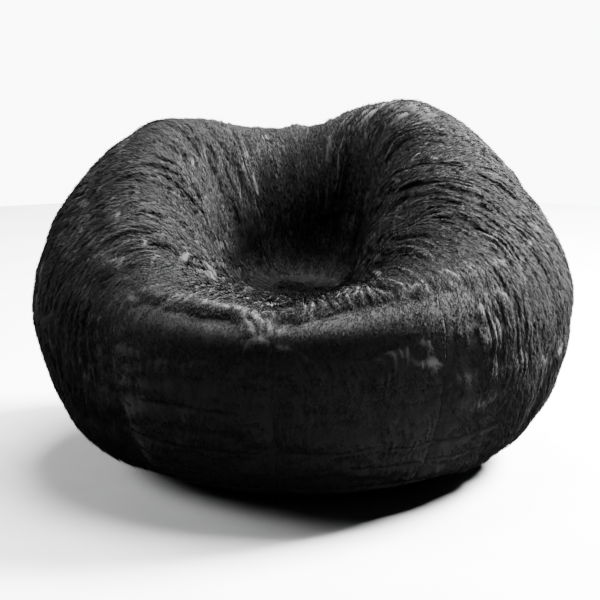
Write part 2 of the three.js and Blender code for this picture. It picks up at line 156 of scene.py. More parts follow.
# ---------------------------------------------------------------- the shape of the bag

def whole_turn(count):
    """The azimuths of `count` places evenly round the axis, from +X."""
    return np.arange(count) * 2 * math.pi / count


def round_the_body(stations, azimuth):
    """A smooth value round the body from the eight stations, as a sum of waves through all of them."""
    count = len(stations)
    angles = whole_turn(count)
    value = np.zeros_like(azimuth)
    for wave in range(count // 2 + 1):
        weight = 1 if wave in (0, count // 2) else 2
        cosine = float(np.dot(stations, np.cos(wave * angles)))
        sine = float(np.dot(stations, np.sin(wave * angles)))
        value += weight * (cosine * np.cos(wave * azimuth) + sine * np.sin(wave * azimuth)) / count
    return value


def spline_weights(count, along):
    """The weight of each of `count` steering points at the places `along` a clamped cubic spline."""
    spans = count - 3
    knots = np.concatenate([np.zeros(3), np.linspace(0, 1, spans + 1), np.ones(3)])
    along = np.minimum(along, 1 - 1e-9)
    weights = [((knots[i] <= along) & (along < knots[i + 1])).astype(float) for i in range(len(knots) - 1)]
    for degree in (1, 2, 3):
        raised = []
        for i in range(len(knots) - degree - 1):
            left = knots[i + degree] - knots[i]
            right = knots[i + degree + 1] - knots[i + 1]
            value = np.zeros_like(along)
            if left > 0:
                value += (along - knots[i]) / left * weights[i]
            if right > 0:
                value += (knots[i + degree + 1] - along) / right * weights[i + 1]
            raised.append(value)
        weights = raised
    return np.stack(weights, axis=1)


def meridian_steering(azimuth):
    """The steering points of the side at each azimuth: distance from the axis and height."""
    half = BODY_WIDTH / 2
    belly = half * round_the_body(BELLY_SHARES, azimuth)
    crest = BODY_HEIGHT * round_the_body(CREST_SHARES, azimuth)
    crest_radius = half * round_the_body(CREST_RADIUS_SHARES, azimuth)
    shoulder = belly * round_the_body(SHOULDER_SHARES, azimuth)
    shoulder_height = crest * round_the_body(SHOULDER_RISE_SHARES, azimuth)
    slope_radius = crest_radius * round_the_body(SLOPE_RADIUS_SHARES, azimuth)
    slope_height = SEAT_HEIGHT + (crest - SEAT_HEIGHT) * round_the_body(SLOPE_RISE_SHARES, azimuth)
    flat = np.ones_like(azimuth)
    points = (
        (SEAM_RADIUS * flat, SEAM_HEIGHT * flat),
        ((SEAM_RADIUS + SEAM_REACH * math.cos(SEAM_SLOPE)) * flat,
         (SEAM_HEIGHT + SEAM_REACH * math.sin(SEAM_SLOPE)) * flat),
        (belly * BELLY_PULL, BELLY_HEIGHT * flat),
        (shoulder, shoulder_height),
        (crest_radius, crest * CREST_PULL),
        (slope_radius, slope_height),
        ((CROWN_RADIUS + SEAT_FLAT) * flat, SEAT_HEIGHT * flat),
        (CROWN_RADIUS * flat, SEAT_HEIGHT * flat),
    )
    return np.array([np.stack(point, axis=1) for point in points])


class Skin:
    """The bag's outer surface as a table over (along, azimuth): along runs from 0 at the base seam to 1
    at the crown patch, in equal steps of length, and azimuth goes once round."""

    ROWS = 520
    COLUMNS = 480

    def __init__(self):
        azimuth = whole_turn(self.COLUMNS)
        self.azimuth = azimuth
        weights = spline_weights(8, np.linspace(0, 1, 900))
        curves = np.einsum("ts,sac->tac", weights, meridian_steering(azimuth))
        steps = np.linalg.norm(np.diff(curves, axis=0), axis=2)
        reach = np.concatenate([np.zeros((1, self.COLUMNS)), np.cumsum(steps, axis=0)])
        even = np.linspace(0, 1, self.ROWS)
        line = np.empty((self.ROWS, self.COLUMNS, 2))
        for i in range(self.COLUMNS):
            for axis in (0, 1):
                line[:, i, axis] = np.interp(even * reach[-1, i], reach[:, i], curves[:, i, axis])
        self.length = reach[-1]
        self.place = np.stack([
            line[..., 0] * np.cos(azimuth), line[..., 0] * np.sin(azimuth), line[..., 1]], axis=-1)
        rise = np.gradient(self.place, axis=0)
        turn = np.roll(self.place, -1, axis=1) - np.roll(self.place, 1, axis=1)
        normal = np.cross(turn, rise)
        self.normal = normal / np.linalg.norm(normal, axis=-1, keepdims=True)
        self.rise = rise / np.linalg.norm(rise, axis=-1, keepdims=True)
        self.radius = line[..., 0]


def sample(table, along, azimuth):
    """Values of a table over (along, azimuth) between its entries; it repeats round the azimuth."""
    rows, columns = table.shape[:2]
    down = np.clip(along, 0, 1) * (rows - 1)
    across = (azimuth / (2 * math.pi) % 1) * columns
    row = np.minimum(down.astype(int), rows - 2)
    column = across.astype(int) % columns
    beyond = (column + 1) % columns
    fall = down - row
    drift = across - np.floor(across)
    if table.ndim == 3:
        fall, drift = fall[..., None], drift[..., None]
    low = table[row, column] * (1 - drift) + table[row, beyond] * drift
    high = table[row + 1, column] * (1 - drift) + table[row + 1, beyond] * drift
    return low * (1 - fall) + high * fall


def smooth_step(value, low, high):
    share = np.clip((value - low) / (high - low), 0, 1)
    return share * share * (3 - 2 * share)


def soft_noise(seed, along_size, across_size, rows=512, columns=1024, girth=MEAN_GIRTH_RADIUS):
    """A table of smooth random bumps, of unit spread, whose lumps are about `along_size` long up the
    side and `across_size` wide where the bag's radius is `girth`."""
    noise = np.random.default_rng(seed).standard_normal((rows, columns))
    up = np.fft.fftfreq(rows, SIDE_LENGTH / rows)[:, None]
    round_it = np.fft.fftfreq(columns, 2 * math.pi * girth / columns)[None, :]
    keep = np.exp(-((up * along_size) ** 2 + (round_it * across_size) ** 2) * math.pi)
    table = np.real(np.fft.ifft2(np.fft.fft2(noise) * keep))
    return table / table.std()


SKIN = Skin()


def mesh_from_arrays(name, vertices, faces, shades=None):
    """A mesh from a list of face tables, one table for each number of corners. It is smooth unless its
    faces have shades."""
    mesh = bpy.data.meshes.new(name)
    mesh.vertices.add(len(vertices))
    mesh.vertices.foreach_set("co", np.ascontiguousarray(vertices, dtype=np.float32).ravel())
    corners = np.concatenate([table.ravel() for table in faces]).astype(np.int32)
    sizes = np.concatenate([np.full(len(table), table.shape[1]) for table in faces])
    starts = np.concatenate([[0], np.cumsum(sizes)[:-1]]).astype(np.int32)
    mesh.loops.add(len(corners))
    mesh.loops.foreach_set("vertex_index", corners)
    mesh.polygons.add(len(sizes))
    mesh.polygons.foreach_set("loop_start", starts)
    if shades is not None:
        mesh.polygons.foreach_set("material_index", shades.astype(np.int32))
    mesh.polygons.foreach_set("use_smooth", np.full(len(sizes), shades is None))
    mesh.update(calc_edges=True)
    mesh.validate()
    return mesh


def grid_faces(rows, columns, closed=False):
    """The squares of a grid of points; a closed grid joins its last column to its first."""
    row = np.arange(rows - 1)[:, None] * columns
    column = np.arange(columns if closed else columns - 1)[None, :]
    beyond = (column + 1) % columns
    low = (row + column).ravel()
    low_next = (row + beyond).ravel()
    return np.stack([low, low_next, low_next + columns, low + columns], axis=1)


def unit(vectors):
    return vectors / np.maximum(np.linalg.norm(vectors, axis=-1, keepdims=True), 1e-12)


def skin_at(along, azimuth):
    """Places on the plain surface, and the way out of it there."""
    return sample(SKIN.place, along, azimuth), unit(sample(SKIN.normal, along, azimuth))


def settle_cloth(rows=88, columns=320, frames=20):
    """Fills the cover with air as a cloth simulation, held at its seams, and gives how far each point of
    a table over (along, azimuth) moved out of the plain surface. The cloth is cut a little large, so it
    creases beside the seams and down the slope of the seat."""
    along = np.linspace(0, 1, rows)[:, None] * np.ones(columns)
    azimuth = (whole_turn(columns) + SEAM_TURN)[None, :] * np.ones((rows, 1))
    place, normal = skin_at(along, azimuth)
    mesh = mesh_from_arrays("cloth_settling", place.reshape(-1, 3), [grid_faces(rows, columns, closed=True)])
    cloth = bpy.data.objects.new("cloth_settling", mesh)
    scene = bpy.context.scene
    scene.collection.objects.link(cloth)
    held = (along < 0.01) | (sample(SKIN.radius, along, azimuth) < 0.1)
    held[:, ::columns // GORE_COUNT] = True
    group = cloth.vertex_groups.new(name="held")
    group.add([int(i) for i in np.flatnonzero(held.ravel())], 1.0, "REPLACE")
    modifier = cloth.modifiers.new("cloth", "CLOTH")
    settings = modifier.settings
    settings.quality = 6
    settings.mass = 0.3
    settings.tension_stiffness = 12
    settings.compression_stiffness = 12
    settings.shear_stiffness = 4
    settings.bending_stiffness = 0.25
    settings.vertex_group_mass = "held"
    settings.use_pressure = True
    settings.uniform_pressure_force = 1.5
    settings.shrink_min = -0.04
    settings.effector_weights.gravity = 0
    modifier.point_cache.frame_start = 1
    modifier.point_cache.frame_end = frames
    for frame_number in range(1, frames + 1):
        scene.frame_set(frame_number)
    settled = cloth.evaluated_get(bpy.context.evaluated_depsgraph_get())
    points = np.empty(rows * columns * 3, dtype=np.float32)
    settled.data.vertices.foreach_get("co", points)
    moved = ((points.reshape(rows, columns, 3) - place) * normal).sum(axis=-1)
    bpy.data.objects.remove(cloth)
    bpy.data.meshes.remove(mesh)
    scene.frame_set(1)
    return SETTLED_MOST * np.tanh(moved / SETTLED_HALF) - SETTLED_SINK


class Relief:
    """How far the cloth stands off the plain surface: folds, seam grooves and the locks of the pile."""

    GIRTHS = (0.6, 0.3, 0.12)

    def __init__(self):
        self.settled = settle_cloth()
        self.swell = soft_noise(11, 0.32, 0.30)
        self.rumple = soft_noise(12, 0.06, 0.20)
        self.drift = soft_noise(13, 0.10, 0.07)
        self.locks = [soft_noise(21 + i, 0.16, 0.0155, 640, 3072, girth)
                      for i, girth in enumerate(self.GIRTHS)]
        self.wisps = [soft_noise(31 + i, 0.042, 0.0060, 640, 6144, girth)
                      for i, girth in enumerate(self.GIRTHS)]
        self.mottle = soft_noise(41, 0.030, 0.035, 512, 2048)
        self.patches = soft_noise(42, 0.13, 0.13)
        self.folds = soft_noise(44, 0.24, 0.060, 512, 1024, 0.4)
        self.crumb = soft_noise(43, 0.022, 0.022, 512, 2048)

    def ridges(self, tables, along, azimuth, radius):
        """Ridges that run up and down the side, wander a little and keep about the same width where the
        bag narrows."""
        wander = azimuth + 0.010 * sample(self.drift, along, azimuth) / np.maximum(radius, 0.1)
        share = np.clip(np.log2(np.maximum(radius, 0.05) / 0.12) / math.log2(0.6 / 0.12) * 2, 0, 2)
        values = [sample(table, along, wander) for table in tables]
        weights = [np.clip(1 - abs(share - place), 0, 1) for place in (2, 1, 0)]
        total = np.sqrt(sum(weight ** 2 for weight in weights))
        return sum(value * weight for value, weight in zip(values, weights)) / total

    def front(self, along, azimuth):
        """1 on the smooth front wall, below the seat's rim, and 0 on the rest of the bag."""
        off_front = abs((azimuth - FRONT_AZIMUTH + math.pi) % (2 * math.pi) - math.pi)
        return smooth_step(-off_front, -FRONT_END, -FRONT_FULL) * smooth_step(-along, -0.56, -0.44)

    def creases(self, along, azimuth, radius):
        """The deep creases, each a line over the side that fades out at both ends, and the long soft
        folds that run with the pile over the rim of the seat."""
        fold = sample(self.folds, along, azimuth)
        rim = smooth_step(along, 0.42, 0.60) * smooth_step(-along, -0.97, -0.80)
        depth = 0.0060 * rim * np.exp(-(fold / 0.28) ** 2)
        for start, end, width, deepest in CREASES:
            (low, from_angle), (high, to_angle) = start, end
            share = (along - low) / (high - low)
            seat_painted_light = smooth_step(share, 0, 0.25) * smooth_step(-share, -1, -0.75)
            middle = np.radians(from_angle + (to_angle - from_angle) * np.clip(share, 0, 1))
            off = (azimuth - middle + math.pi) % (2 * math.pi) - math.pi
            depth = np.maximum(depth, deepest * seat_painted_light * np.exp(-(off * radius / width) ** 2))
        for height, start, end, sag, deepest in WRINKLES:
            share = (((azimuth - math.radians(start)) % (2 * math.pi)) / math.radians(end - start))
            seat_painted_light = smooth_step(share, 0, 0.2) * smooth_step(-share, -1, -0.8)
            off = (along - height + sag * 4 * share * (1 - share)) * SIDE_LENGTH
            depth = np.maximum(depth, deepest * seat_painted_light * np.exp(-(off / 0.006) ** 2))
        return depth

    def height(self, along, azimuth):
        radius = sample(SKIN.radius, along, azimuth)
        front = self.front(along, azimuth)
        locks = self.ridges(self.locks, along, azimuth, radius)
        wisps = self.ridges(self.wisps, along, azimuth, radius)
        depth = 1 + 0.25 * np.clip(sample(self.patches, along, azimuth), -1.5, 1.5)
        piled = 0.0058 * depth * np.minimum(abs(locks) / 0.8, 1) ** 0.8 + 0.0016 * np.minimum(abs(wisps), 1)
        plain = 0.0035 + 0.0016 * sample(self.mottle, along, azimuth) + 0.0006 * wisps
        pile = piled * (1 - front) + plain * front
        swell = 0.0022 * sample(self.swell, along, azimuth) + 0.0022 * sample(self.rumple, along, azimuth)
        off_seam = abs((azimuth - SEAM_TURN + GORE_WIDTH / 2) % GORE_WIDTH - GORE_WIDTH / 2) * radius
        groove = (0.006 * np.exp(-(off_seam / 0.006) ** 2) + 0.004 * np.exp(-(off_seam / 0.03) ** 2)) * (
            0.6 * front - 1)
        ends = smooth_step(along, 0, 0.03) * smooth_step(-along, -1, -0.985)
        settled = sample(self.settled, along, azimuth - SEAM_TURN)
        creases = self.creases(along, azimuth, radius)
        stands = pile + settled + swell + groove - creases - RELIEF_SINK
        return np.maximum(stands, -RELIEF_DEEPEST) * ends

    def liner_height(self, along, azimuth):
        """The liner is slack enough to wrinkle a little in the space under the cover."""
        return 0.0005 * np.tanh(sample(self.rumple, along, azimuth))

    def crumbs(self, along, azimuth):
        """0 on the tops of the foam crumbs and 1 in the gaps between them."""
        return 1 - np.minimum(abs(sample(self.crumb, along, azimuth)), 1)


RELIEF = Relief()


# ---------------------------------------------------------------- meshes

def add_piece(name, mesh, materials, body="bag", slot=None, replaces=()):
    piece = bpy.data.objects.new(name, mesh)
    bpy.context.scene.collection.objects.link(piece)
    piece.data.materials.clear()
    for material in materials:
        piece.data.materials.append(material)
    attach(piece, body)
    if replaces:
        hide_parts(*replaces)
    return piece


def add_built(name, built, materials, **facts):
    """A piece from its points, its face tables and, where it has them, its shades."""
    return add_piece(name, mesh_from_arrays(name, *built), materials, **facts)


def merged(parts):
    """Several (vertices, face tables) parts as one."""
    vertices = []
    faces = []
    count = 0
    for points, tables in parts:
        vertices.append(points)
        faces += [table + count for table in tables]
        count += len(points)
    return np.concatenate(vertices), faces


def round_steps(length, spacing):
    """How many steps of about `spacing` go in `length`: a whole number of eights."""
    return max(8, 8 * round(length / spacing / 8))


def side_panel(start, width, depths, spacing, relief, step, low_edge, gap):
    """One sewn panel of the side, between two seams: a face with its relief at the first depth under
    the outer surface, and a plainer face, with every `step`-th point, at the second depth."""
    columns = round_steps(width * MEAN_GIRTH_RADIUS, spacing)
    rows = round_steps(SIDE_LENGTH, spacing)
    shares = np.linspace(0, 1, rows + 1)[:, None]
    across = np.linspace(-0.5, 0.5, columns + 1)[None, :] * np.ones((rows + 1, 1))
    middle = start + width / 2
    azimuth = middle + across * width
    length = np.interp(azimuth[0] % (2 * math.pi), SKIN.azimuth, SKIN.length, period=2 * math.pi)
    along = (low_edge + shares * (length - low_edge - FABRIC_GAP)) / length
    radius = sample(SKIN.radius, along, azimuth)
    azimuth = middle + across * (width - gap / radius)
    place, normal = skin_at(along, azimuth)
    outer = place + normal * (relief(along, azimuth) - depths[0])[..., None]
    inner = (place - normal * depths[1])[::step, ::step]
    outer_count = outer.shape[0] * outer.shape[1]
    inner_rows, inner_columns = inner.shape[:2]
    quads = [grid_faces(rows + 1, columns + 1),
             grid_faces(inner_rows, inner_columns)[:, ::-1] + outer_count]
    fine = np.arange(outer_count).reshape(rows + 1, columns + 1)
    rough = np.arange(inner_rows * inner_columns).reshape(inner_rows, inner_columns) + outer_count
    edges = ((fine[0], rough[0], False), (fine[-1], rough[-1], True),
             (fine[:, 0], rough[:, 0], True), (fine[:, -1], rough[:, -1], False))
    walls = []
    for dense, loose, flipped in edges:
        nearest = loose[(np.arange(len(dense)) + step // 2) // step]
        fans = np.stack([dense[1:], dense[:-1], nearest[:-1]], axis=1)
        links = np.stack([dense[1:], nearest[:-1], nearest[1:]], axis=1)[nearest[1:] != nearest[:-1]]
        wall = np.concatenate([fans, links])
        walls.append(wall[:, ::-1] if flipped else wall)
    vertices = np.concatenate([outer.reshape(-1, 3), inner.reshape(-1, 3)])
    return vertices, [np.concatenate(quads), np.concatenate(walls)]


def base_line(depth, edge, rows):
    """The underside at one depth, from the foot's edge to `edge` short of the base seam: distance from
    the axis and height."""
    corner = SEAM_RADIUS - SEAM_HEIGHT / math.tan(SEAM_SLOPE)
    share = np.linspace(0, 1, 400)
    start, middle, end = np.array([[FOOT_RADIUS, 0], [corner, 0], [SEAM_RADIUS, SEAM_HEIGHT]])
    spread = share[:, None]
    curve = start * (1 - spread) ** 2 + middle * 2 * spread * (1 - spread) + end * spread ** 2
    slope = unit((middle - start) * (1 - spread) + (end - middle) * spread)
    reach = np.concatenate([[0], np.cumsum(np.linalg.norm(np.diff(curve, axis=0), axis=1))])
    stops = np.linspace(0, reach[-1] - edge, rows)
    radius = np.interp(stops, reach, curve[:, 0] - slope[:, 1] * depth)
    height = np.interp(stops, reach, curve[:, 1] + slope[:, 0] * depth)
    return radius, height


def ring_points(radius, height, azimuth):
    """Rings of points round the axis, one for each distance from it and height."""
    places = (radius[:, None] * np.cos(azimuth), radius[:, None] * np.sin(azimuth),
              height[:, None] * np.ones(len(azimuth)))
    return np.stack(places, axis=-1)


def closed_rings(rings, low_end, high_end):
    """A closed body from rings of points, with a point on the axis at each end, at two heights."""
    count, columns = rings.shape[:2]
    vertices = np.concatenate([rings.reshape(-1, 3), [[0, 0, low_end], [0, 0, high_end]]])
    first = np.arange(columns)
    beyond = (first + 1) % columns
    last = (count - 1) * columns
    low = np.stack([beyond, first, np.full(columns, count * columns)], axis=1)
    high = np.stack([first + last, beyond + last, np.full(columns, count * columns + 1)], axis=1)
    return vertices, [grid_faces(count, columns, closed=True), np.concatenate([low, high])]


def revolved(radius, height, columns, shift=0):
    """A closed body round the axis. `shift` moves every ring point up or down, as a table over (ring,
    column)."""
    rings = ring_points(radius[1:-1], height[1:-1], whole_turn(columns))
    rings[..., 2] += shift
    return closed_rings(rings, height[0], height[-1])


def seam_points(across, depth, azimuth):
    """Places in the base seam's groove: across the seam, positive up the side, and down into the
    cloth."""
    radius = SEAM_RADIUS + across * math.cos(SEAM_SLOPE) - depth * math.sin(SEAM_SLOPE)
    height = SEAM_HEIGHT + across * math.sin(SEAM_SLOPE) + depth * math.cos(SEAM_SLOPE)
    places = np.broadcast_arrays(radius * np.cos(azimuth), radius * np.sin(azimuth), height)
    return np.stack(places, axis=-1)


def seam_strip(low, high, top, bottom, start, end, step, corner):
    """A strip laid along the base seam, with rounded corners and rounded ends."""
    turns = np.arange(3) * math.pi / 4
    centres = ((high - corner, top + corner, -math.pi / 2), (high - corner, bottom - corner, 0),
               (low + corner, bottom - corner, math.pi / 2), (low + corner, top + corner, math.pi))
    across = np.concatenate([x + corner * np.cos(turn + turns) for x, _, turn in centres])
    depth = np.concatenate([y + corner * np.sin(turn + turns) for _, y, turn in centres])
    count = max(2, round((end - start) * SEAM_RADIUS / step) + 1)
    azimuth = np.linspace(start, end, count)[:, None] * np.ones(len(across))
    places = seam_points(across[None, :], depth[None, :], azimuth)
    vertices = places.reshape(-1, 3)
    ring = len(across)
    cap = np.arange(ring)
    last = cap + (count - 1) * ring
    return vertices, [grid_faces(count, ring, closed=True), np.stack([cap[::-1], last])]


def seam_coil(side, start, end):
    """A zip's nylon coil along the base seam: one fine wire wound round and round."""
    turns = round((end - start) * SEAM_RADIUS / COIL_PITCH)
    steps = turns * COIL_FACETS
    share = np.arange(steps + 1) / steps
    turn = share * turns * 2 * math.pi + (0 if side > 0 else math.pi)
    middle = COIL_SPLIT / 2 + COIL_WIDTH / 2
    across = side * middle + (COIL_WIDTH / 2 - WIRE_RADIUS) * np.cos(turn)
    depth = COIL_DEPTH + COIL_THICKNESS / 2 + (COIL_THICKNESS / 2 - WIRE_RADIUS) * np.sin(turn)
    centre = seam_points(across, depth, start + share * (end - start))
    heading = unit(np.gradient(centre, axis=0))
    first = unit(np.cross(heading, UP))
    second = np.cross(heading, first)
    sides = np.arange(4) * math.pi / 2
    rings = centre[:, None] + WIRE_RADIUS * (
        np.cos(sides)[None, :, None] * first[:, None] + np.sin(sides)[None, :, None] * second[:, None])
    cap = np.arange(4)
    return rings.reshape(-1, 3), [
        np.concatenate([grid_faces(steps + 1, 4, closed=True), np.stack([cap[::-1], cap + steps * 4])])]


def stitches(places, headings, length, thickness):
    """A row of stitches: each is a short thread that dips into the cloth at both ends."""
    rings, sides = 5, 6
    share = np.linspace(-1, 1, rings)
    swell = np.sqrt(np.maximum(1 - share ** 2 * 0.97, 0))
    first = unit(np.cross(headings, UP))
    second = np.cross(headings, first)
    angle = whole_turn(sides)
    round_it = (np.cos(angle)[None, None, :, None] * first[:, None, None]
                + np.sin(angle)[None, None, :, None] * second[:, None, None])
    threads = (places[:, None, None] + share[None, :, None, None] * length / 2 * headings[:, None, None]
               + round_it * (swell * thickness / 2)[None, :, None, None])
    one = grid_faces(rings, sides, closed=True)
    cap = np.arange(sides)
    quads = (np.arange(len(places))[:, None, None] * rings * sides + one).reshape(-1, 4)
    caps = (np.arange(len(places))[:, None, None] * rings * sides
            + np.stack([cap[::-1], cap + (rings - 1) * sides])).reshape(-1, sides)
    return threads.reshape(-1, 3), [quads, caps]


def reworked(node, change, sharp_angle):
    """A copy of a frame part's mesh after `change`, smooth but for edges sharper than the angle."""
    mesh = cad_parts[node].data.copy()
    work = bmesh.new()
    work.from_mesh(mesh)
    bmesh.ops.remove_doubles(work, verts=work.verts, dist=1e-6)
    change(work)
    work.to_mesh(mesh)
    work.free()
    mesh.polygons.foreach_set("use_smooth", np.ones(len(mesh.polygons), dtype=bool))
    mesh.set_sharp_from_angle(angle=math.radians(sharp_angle))
    return mesh


def finer_copy(node, spacing, seed, amplitude):
    """A copy of a frame part's mesh with edges no longer than `spacing`, gently rumpled."""
    def refine(work):
        bmesh.ops.triangulate(work, faces=work.faces)
        for _ in range(6):
            long_edges = [edge for edge in work.edges if edge.calc_length() > spacing]
            if not long_edges:
                break
            bmesh.ops.subdivide_edges(work, edges=long_edges, cuts=1)
            bmesh.ops.triangulate(work, faces=work.faces)
        work.normal_update()
        for vertex in work.verts:
            swell = noise.noise(vertex.co * 22 + Vector((seed, 0, 0)))
            vertex.co += vertex.normal * amplitude * swell
    return reworked(node, refine, 40)


def machined_copy(node, edge):
    """A copy of a frame part's mesh with its flat faces whole and its edges broken."""
    def break_edges(work):
        bmesh.ops.dissolve_limit(work, angle_limit=math.radians(2), verts=work.verts, edges=work.edges)
        sharp = [item for item in work.edges
                 if item.is_manifold and item.calc_face_angle(0) > math.radians(25)]
        bmesh.ops.bevel(work, geom=sharp, offset=edge, segments=2, profile=0.6, affect="EDGES",
                        clamp_overlap=True)
        bmesh.ops.recalc_face_normals(work, faces=work.faces)
    return reworked(node, break_edges, 35)


# ---------------------------------------------------------------- the pile

def pile_roots(index, count, rng):
    """Places for `count` blades, spread evenly over one gore's surface."""
    start = SEAM_TURN + index * GORE_WIDTH
    tries = int(count * 2.6)
    along = rng.uniform(HALF_GROOVE / SIDE_LENGTH, 0.999, tries)
    azimuth = start + rng.uniform(0, GORE_WIDTH, tries)
    keep = rng.uniform(0, 0.64, tries) < sample(SKIN.radius, along, azimuth)
    return along[keep][:count], azimuth[keep][:count]


def blades(base, heading, normal, side, length, width, rise, pull, rng):
    """Blades of fur as two-part tapering strips that rise from their roots and lie over again."""
    count = len(base)
    bend = (length * 0.5)[:, None]
    middle = base + bend * unit(heading * np.cos(rise)[:, None] + normal * np.sin(rise)[:, None]) + pull * 0.5
    droop = rise - 0.40
    fall = unit(heading * np.cos(droop)[:, None] + normal * np.sin(droop)[:, None])
    tip = middle + bend * fall + pull * 0.5
    roll = 0.45 * rng.standard_normal(count)
    wide = side * np.cos(roll)[:, None] + normal * np.sin(roll)[:, None]
    half = (width * rng.uniform(0.35, 0.6, count))[:, None] * wide
    vertices = np.stack([base - half, base + half, middle + half * 0.8, middle - half * 0.8, tip], axis=1)
    vertices = vertices.reshape(-1, 3)
    vertices[:, 2] = np.maximum(vertices[:, 2], 0.004)
    first = np.arange(count)[:, None] * 5
    return vertices, [first + np.array([0, 1, 2, 3]), first + np.array([3, 2, 4])]


def gore_pile(index, count, sizes, seed):
    """The pile of one gore: it lies down the side and gathers into locks."""
    rng = np.random.default_rng(seed)
    along, azimuth = pile_roots(index, count, rng)
    count = len(along)
    radius = sample(SKIN.radius, along, azimuth)
    place, normal = skin_at(along, azimuth)
    lie = -unit(sample(SKIN.rise, along, azimuth))
    side = np.cross(normal, lie)
    front = RELIEF.front(along, azimuth)
    lift = RELIEF.height(along, azimuth)
    slope = RELIEF.height(along, azimuth + 0.004 / radius) - lift
    crown = np.minimum(abs(RELIEF.ridges(RELIEF.locks, along, azimuth, radius)) / 0.8, 1)
    edge = smooth_step(-along, -0.03, -0.008) * np.where(np.sin(azimuth) < -0.04, 0.9, -0.7)
    length = sizes.pile_length * (1 - 0.45 * front + edge) * rng.uniform(0.6, 1.2, count)
    yaw = (0.16 + 0.25 * front) * rng.standard_normal(count) + 0.18 * sample(RELIEF.drift, along, azimuth)
    rise = 0.32 + 0.12 * rng.standard_normal(count) + 0.10 * crown - 0.12 * front
    heading = lie * np.cos(yaw)[:, None] + side * np.sin(yaw)[:, None]
    pull = (1.5 * np.clip(slope, -0.0035, 0.0035))[:, None] * side
    base = place + normal * (lift - 0.0012)[:, None]
    vertices, faces = blades(base, heading, normal, side, length, sizes.blade_width, rise, pull, rng)
    # Painted light and shade in the pile's colour: the crowns of the locks take the lighter shades as painted
    # highlight, the hollows between them and the smooth front wall the darkest as painted shade, and the seat
    # is lifted a step as painted light; the rest is random tone.
    seat_painted_light = smooth_step(along, 0.60, 0.82)
    painted_light_and_tone = (1.8 * crown - 1.0) * (1 - front) - 1.8 * front + 0.35 * seat_painted_light
    shade = np.digitize(painted_light_and_tone + 0.42 * rng.standard_normal(count), (-0.7, -0.1, 0.5))
    return vertices, faces, np.concatenate([shade, shade])


def crown_pile(count, sizes, seed):
    """The pile of the round crown patch: it lies outwards from the middle, with a slight swirl."""
    rng = np.random.default_rng(seed)
    radius = CROWN_RADIUS * np.sqrt(rng.uniform(0, 1, count))
    azimuth = rng.uniform(0, 2 * math.pi, count)
    out = np.stack([np.cos(azimuth), np.sin(azimuth), np.zeros(count)], axis=1)
    up = UP * np.ones((count, 1))
    round_it = np.cross(up, out)
    turn = 0.5 + 0.5 * rng.standard_normal(count)
    heading = out * np.cos(turn)[:, None] + round_it * np.sin(turn)[:, None]
    base = out * radius[:, None] + up * (SEAT_HEIGHT + 0.001)
    length = sizes.pile_length * rng.uniform(0.6, 1.1, count)
    rise = 0.45 + 0.15 * rng.standard_normal(count)
    side = np.cross(up, heading)
    vertices, faces = blades(base, heading, up, side, length, sizes.blade_width, rise, 0 * base, rng)
    shade = np.digitize(0.8 * rng.standard_normal(count), (-0.1, 0.8, 1.8))
    return vertices, faces, np.concatenate([shade, shade])


# ---------------------------------------------------------------- materials

def new_material(name):
    material = bpy.data.materials.new(name)
    material.use_nodes = True
    nodes = material.node_tree.nodes
    return material, nodes, material.node_tree.links, nodes["Principled BSDF"]


def plain(shader, roughness, specular, metal=0.0):
    shader.inputs["Roughness"].default_value = roughness
    shader.inputs["Specular IOR Level"].default_value = specular
    shader.inputs["Metallic"].default_value = metal


def fur_hair(name, colour, brightness, specular, sheen, roughness):
    material, nodes, links, shader = new_material(name)
    shader.inputs["Base Color"].default_value = (*(channel * brightness for channel in colour), 1)
    plain(shader, roughness, specular)
    shader.inputs["Sheen Weight"].default_value = sheen
    shader.inputs["Sheen Roughness"].default_value = 0.45
    shader.inputs["Sheen Tint"].default_value = (0.75, 0.76, 0.78, 1)
    return material


def ramp_between(nodes, links, source, low, high, dark, light):
    ramp = nodes.new("ShaderNodeValToRGB")
    ramp.color_ramp.elements[0].position = low
    ramp.color_ramp.elements[0].color = (*dark, 1)
    ramp.color_ramp.elements[1].position = high
    ramp.color_ramp.elements[1].color = (*light, 1)
    links.new(source, ramp.inputs["Fac"])
    return ramp.outputs["Color"]


def textured(name, texture, scale, low, high, dark, light, bump, roughness, specular=0.3, metal=0.0):
    """A finish from one of the texture nodes: two colours and a bump that follow its pattern."""
    material, nodes, links, shader = new_material(name)
    places = nodes.new("ShaderNodeTexCoord")
    pattern = nodes.new(texture)
    pattern.inputs["Scale"].default_value = scale
    links.new(places.outputs["Object"], pattern.inputs["Vector"])
    value = pattern.outputs["Distance" if texture == "ShaderNodeTexVoronoi" else "Fac"]
    links.new(ramp_between(nodes, links, value, low, high, dark, light), shader.inputs["Base Color"])
    relief = nodes.new("ShaderNodeBump")
    relief.inputs["Strength"].default_value = 0.6
    relief.inputs["Distance"].default_value = bump
    links.new(value, relief.inputs["Height"])
    links.new(relief.outputs["Normal"], shader.inputs["Normal"])
    plain(shader, roughness, specular, metal)
    return material


def speckled(name, scale, dark, light, bump, roughness, specular=0.3, metal=0.0, span=(0.3, 0.7)):
    """A finish whose colour and bump follow a fine noise."""
    return textured(name, "ShaderNodeTexNoise", scale, *span, dark, light, bump, roughness, specular, metal)


def grey(value):
    return (value, value, value)


def sewing_thread(name):
    return speckled(name, 900, grey(0.002), grey(0.008), 0.0001, 0.8, 0.1)


